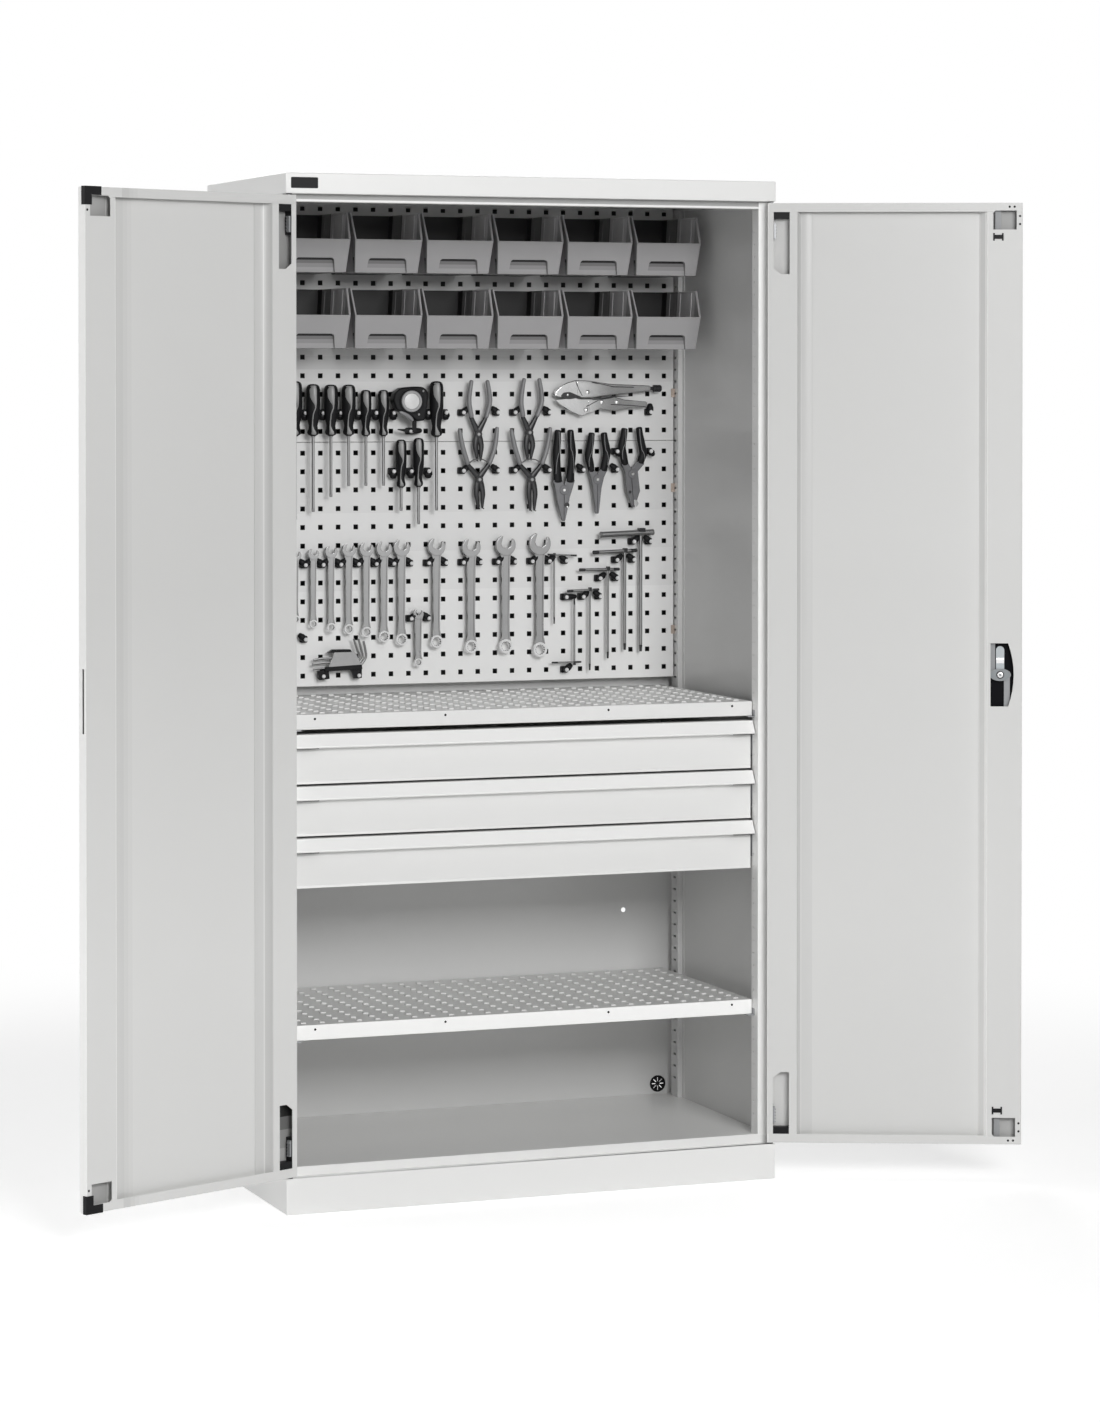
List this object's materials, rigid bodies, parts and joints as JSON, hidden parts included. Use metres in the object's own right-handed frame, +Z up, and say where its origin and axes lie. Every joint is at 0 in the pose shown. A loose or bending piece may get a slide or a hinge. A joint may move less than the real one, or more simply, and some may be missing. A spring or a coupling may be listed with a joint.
{
  "type": "tool cabinet with doors",
  "caption": "White sheet-steel cupboard with hinged doors, drawers, shelves and a perforated tool wall holding bins and hand tools.",
  "frame": {"origin": "centre of the base footprint at floor level", "axes": "+Z up, +X to the right seen from the front, +Y to the back; the doors open towards -Y and are stored open"},
  "size_m": [1.9304, 0.7534, 2],
  "materials": {
    "white_paint": "smooth semi-gloss powder coat",
    "grey_plastic": "satin",
    "black_plastic": "satin",
    "black_steel": "satin",
    "zinc_steel": "zinc plated, dull",
    "chrome_steel": "satin chrome",
    "brass_clips": "dull copper-coloured plating"
  },
  "bodies": {
    "cabinet": {"back_panel": "white_paint", "bins_lower_row": "grey_plastic", "bins_upper_row": "grey_plastic", "ceiling_frame": "white_paint", "circlip_pliers": "grey_plastic", "combination_wrenches": "chrome_steel", "floor_pan": "white_paint", "front_posts": "white_paint", "hex_key_set": "black_plastic", "left_side_panel": "white_paint", "locking_pliers": "chrome_steel", "lower_perforated_panel": "white_paint", "lower_shelf": "white_paint", "name_plate": "black_plastic", "panel_clips": "brass_clips", "pivot_bushes": "black_plastic", "pliers": "black_plastic", "plinth": "white_paint", "rear_posts": "white_paint", "right_side_panel": "white_paint", "runner_fixed_members": "zinc_steel", "screwdrivers": "black_plastic", "shelf_clips": "zinc_steel", "t_handle_keys": "chrome_steel", "tape_measure": "black_plastic", "tool_holders": "black_plastic", "top_cap": "white_paint", "upper_perforated_panel": "white_paint", "upper_shelf": "white_paint", "vent_plug": "black_plastic"},
    "left_door": {"left_door_corner_guards": "black_plastic", "left_door_hinge_channel": "white_paint", "left_door_lock_channel": "white_paint", "left_door_pivot_housings": "black_plastic", "left_door_pivot_pins": "zinc_steel", "left_door_skin": "white_paint"},
    "right_door": {"right_door_hinge_channel": "white_paint", "right_door_lock_channel": "white_paint", "right_door_pivot_housings": "black_plastic", "right_door_pivot_pins": "zinc_steel", "right_door_rod_guides": "black_plastic", "right_door_skin": "white_paint", "lock_housing": "black_plastic"},
    "lock_handle": {"swing_handle": "black_plastic", "cam_lever": "black_steel"},
    "lock_key": {"key_cylinder": "zinc_steel"},
    "lock_upper_rod": {"upper_rod": "zinc_steel"},
    "lock_lower_rod": {"lower_rod": "zinc_steel"},
    "drawer_1": {"drawer_1_box": "white_paint", "drawer_1_handle": "white_paint", "drawer_1_runner_inner": "zinc_steel"},
    "drawer_1_middle_rails": {"drawer_1_runner_middle": "zinc_steel"},
    "drawer_2": {"drawer_2_box": "white_paint", "drawer_2_handle": "white_paint", "drawer_2_runner_inner": "zinc_steel"},
    "drawer_2_middle_rails": {"drawer_2_runner_middle": "zinc_steel"},
    "drawer_3": {"drawer_3_box": "white_paint", "drawer_3_handle": "white_paint", "drawer_3_runner_inner": "zinc_steel"},
    "drawer_3_middle_rails": {"drawer_3_runner_middle": "zinc_steel"}
  },
  "joints": [
    {"name": "left_door_hinge", "type": "hinge", "parent": "cabinet", "child": "left_door", "pos_m": [-0.5031, -0.2665, 1.0155], "axis": [0, 0, -1], "range_deg": [-156.5, 23.5]},
    {"name": "right_door_hinge", "type": "hinge", "parent": "cabinet", "child": "right_door", "pos_m": [0.5031, -0.2665, 1.0155], "axis": [0, 0, 1], "range_deg": [-156.5, 23.5]},
    {"name": "lock_turn", "type": "hinge", "parent": "right_door", "child": "lock_handle", "pos_m": [0.92587, -0.44378, 1.0145], "axis": [0.3987, 0.9171, 0], "range_deg": [0, 90]},
    {"name": "key_turn", "type": "hinge", "parent": "lock_handle", "child": "lock_key", "pos_m": [0.92587, -0.44378, 1.0145], "axis": [0.3987, 0.9171, 0], "range_deg": [0, 90]},
    {"name": "upper_rod_slide", "type": "slide", "parent": "right_door", "child": "lock_upper_rod", "axis": [0, 0, 1], "range_m": [0, 0.015]},
    {"name": "lower_rod_slide", "type": "slide", "parent": "right_door", "child": "lock_lower_rod", "axis": [0, 0, -1], "range_m": [0, 0.015]},
    {"name": "drawer_1_slide", "type": "slide", "parent": "cabinet", "child": "drawer_1", "axis": [0, -1, 0], "range_m": [0, 0.4]},
    {"name": "drawer_1_middle_slide", "type": "slide", "parent": "cabinet", "child": "drawer_1_middle_rails", "axis": [0, -1, 0], "range_m": [0, 0.2]},
    {"name": "drawer_2_slide", "type": "slide", "parent": "cabinet", "child": "drawer_2", "axis": [0, -1, 0], "range_m": [0, 0.4]},
    {"name": "drawer_2_middle_slide", "type": "slide", "parent": "cabinet", "child": "drawer_2_middle_rails", "axis": [0, -1, 0], "range_m": [0, 0.2]},
    {"name": "drawer_3_slide", "type": "slide", "parent": "cabinet", "child": "drawer_3", "axis": [0, -1, 0], "range_m": [0, 0.4]},
    {"name": "drawer_3_middle_slide", "type": "slide", "parent": "cabinet", "child": "drawer_3_middle_rails", "axis": [0, -1, 0], "range_m": [0, 0.2]}
  ],
  "couplings": [
    {"joint": "upper_rod_slide", "follows": "lock_turn", "m_per_rad": 0.009486},
    {"joint": "lower_rod_slide", "follows": "lock_turn", "m_per_rad": 0.009486},
    {"joint": "drawer_1_middle_slide", "follows": "drawer_1_slide", "ratio": 0.5},
    {"joint": "drawer_2_middle_slide", "follows": "drawer_2_slide", "ratio": 0.5},
    {"joint": "drawer_3_middle_slide", "follows": "drawer_3_slide", "ratio": 0.5}
  ]
}
